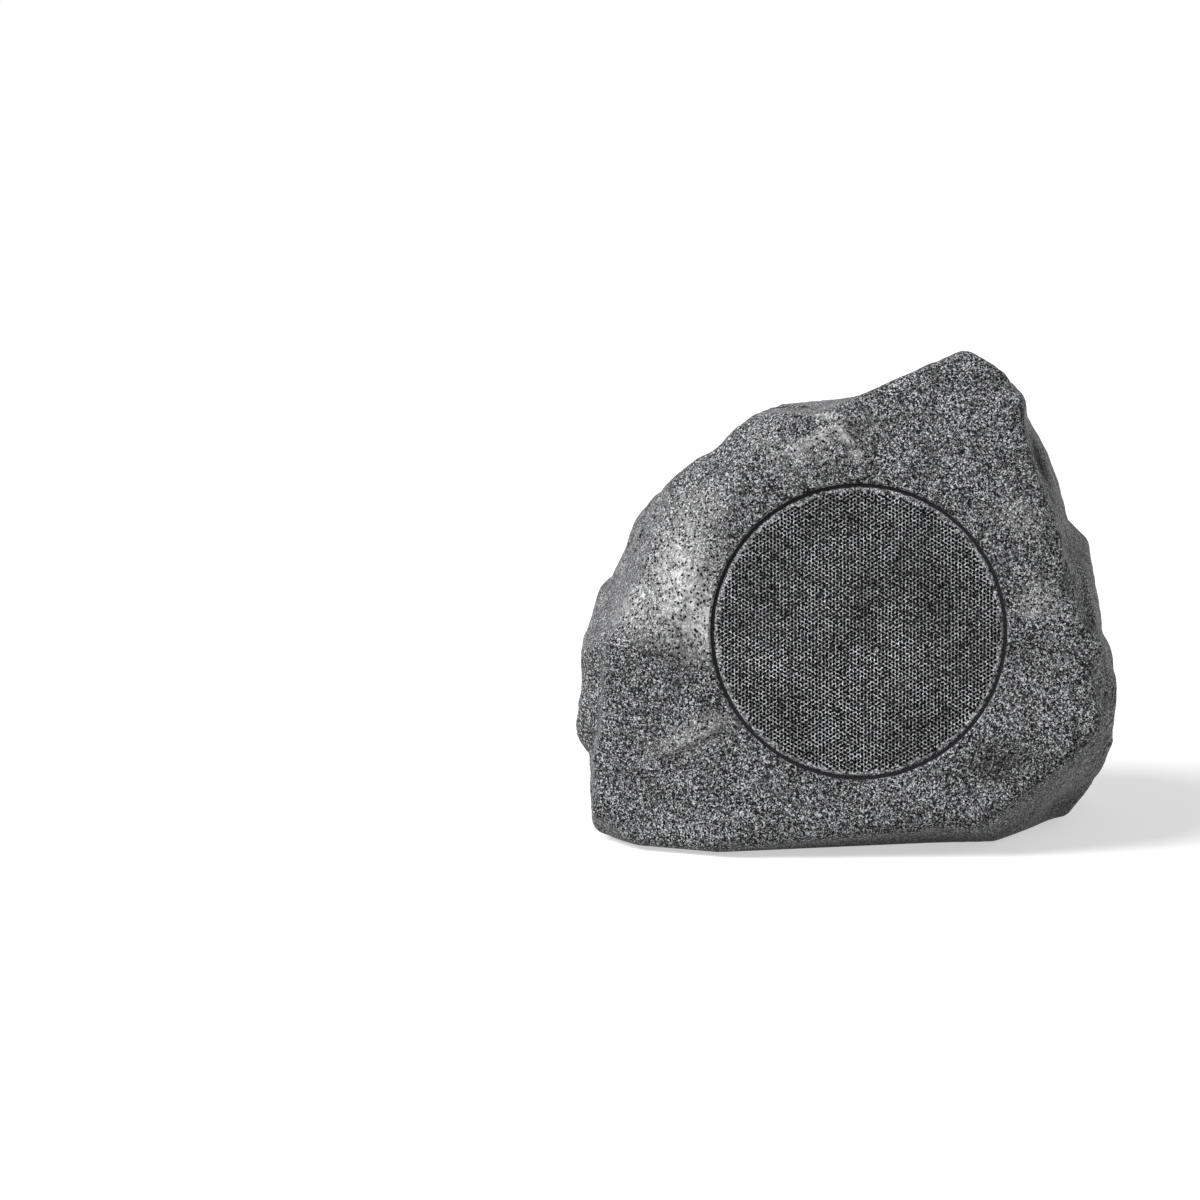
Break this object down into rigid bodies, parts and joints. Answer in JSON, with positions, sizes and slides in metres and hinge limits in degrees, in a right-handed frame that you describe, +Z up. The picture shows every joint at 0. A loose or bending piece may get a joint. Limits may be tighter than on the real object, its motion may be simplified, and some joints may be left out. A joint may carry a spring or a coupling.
{
  "type": "rock shaped garden speaker",
  "caption": "Outdoor loudspeaker in a hollow granite-look stone: round perforated grille in front, coaxial drive unit behind it, sealed base cover, rubber feet and a cable gland at the back.",
  "frame": {"origin": "centre of the bounding box on the plane that the rubber feet stand on", "axes": "+Z up, -Y out of the front towards the listener, +X to the right as seen from the front"},
  "size_m": [0.2822, 0.2374, 0.2508],
  "materials": {
    "granite_coat": "speckled grey granite coat on a filled resin shell",
    "grille_coat": "speckled grey granite coat on perforated steel",
    "black_cloth": "black acoustic scrim",
    "black_rubber": "matt black rubber",
    "foam_rubber": "closed-cell black foam",
    "basket_paint": "black powder paint on pressed steel",
    "cone_plastic": "dark polypropylene",
    "spider_cloth": "resin-treated cotton",
    "former_foil": "plain foil",
    "copper_wire": "varnished copper windings",
    "plated_steel": "zinc plated",
    "ferrite": "dull dark ferrite",
    "black_plastic": "fine-grained moulding",
    "dome_silk": "doped silk",
    "brown_board": "phenolic board",
    "tinned_brass": "tinned",
    "screw_steel": "passivated",
    "green_board": "solder resist",
    "capacitor_sleeve": "plain dark sleeve",
    "white_ceramic": "cement body",
    "block_plastic": "moulded terminal block",
    "lead_sleeve": "soft insulated wire"
  },
  "bodies": {
    "speaker": {"rock_shell": "granite_coat", "grille": "grille_coat", "grille_scrim": "black_cloth", "grille_gasket": "black_rubber", "driver_gasket": "foam_rubber", "driver_basket": "basket_paint", "surround": "black_rubber", "spider": "spider_cloth", "top_plate": "plated_steel", "magnet": "ferrite", "yoke": "plated_steel", "tweeter_post": "plated_steel", "tweeter_housing": "black_plastic", "tweeter_dome": "dome_silk", "terminal_strip": "brown_board", "terminal_tags": "tinned_brass", "driver_screws": "screw_steel", "base_gasket": "foam_rubber", "base_cover": "black_plastic", "base_screws": "screw_steel", "rubber_feet": "black_rubber", "crossover_board": "green_board", "crossover_screws": "screw_steel", "inductor_bobbin": "black_plastic", "inductor_winding": "copper_wire", "capacitor": "capacitor_sleeve", "resistor": "white_ceramic", "terminal_block": "block_plastic", "woofer_leads": "lead_sleeve", "tweeter_leads": "lead_sleeve", "gland_body": "black_plastic", "gland_seal": "black_rubber", "gland_nut": "black_plastic", "gland_locknut": "black_plastic"},
    "cone_assembly": {"cone": "cone_plastic", "voice_coil_former": "former_foil", "voice_coil": "copper_wire"}
  },
  "joints": [
    {"name": "cone_travel", "type": "slide", "parent": "speaker", "child": "cone_assembly", "axis": [0, -0.9903, 0.1392], "range_m": [-0.003, 0.003], "stiffness_N_per_m": 1000, "deforming": ["surround", "spider"]}
  ]
}
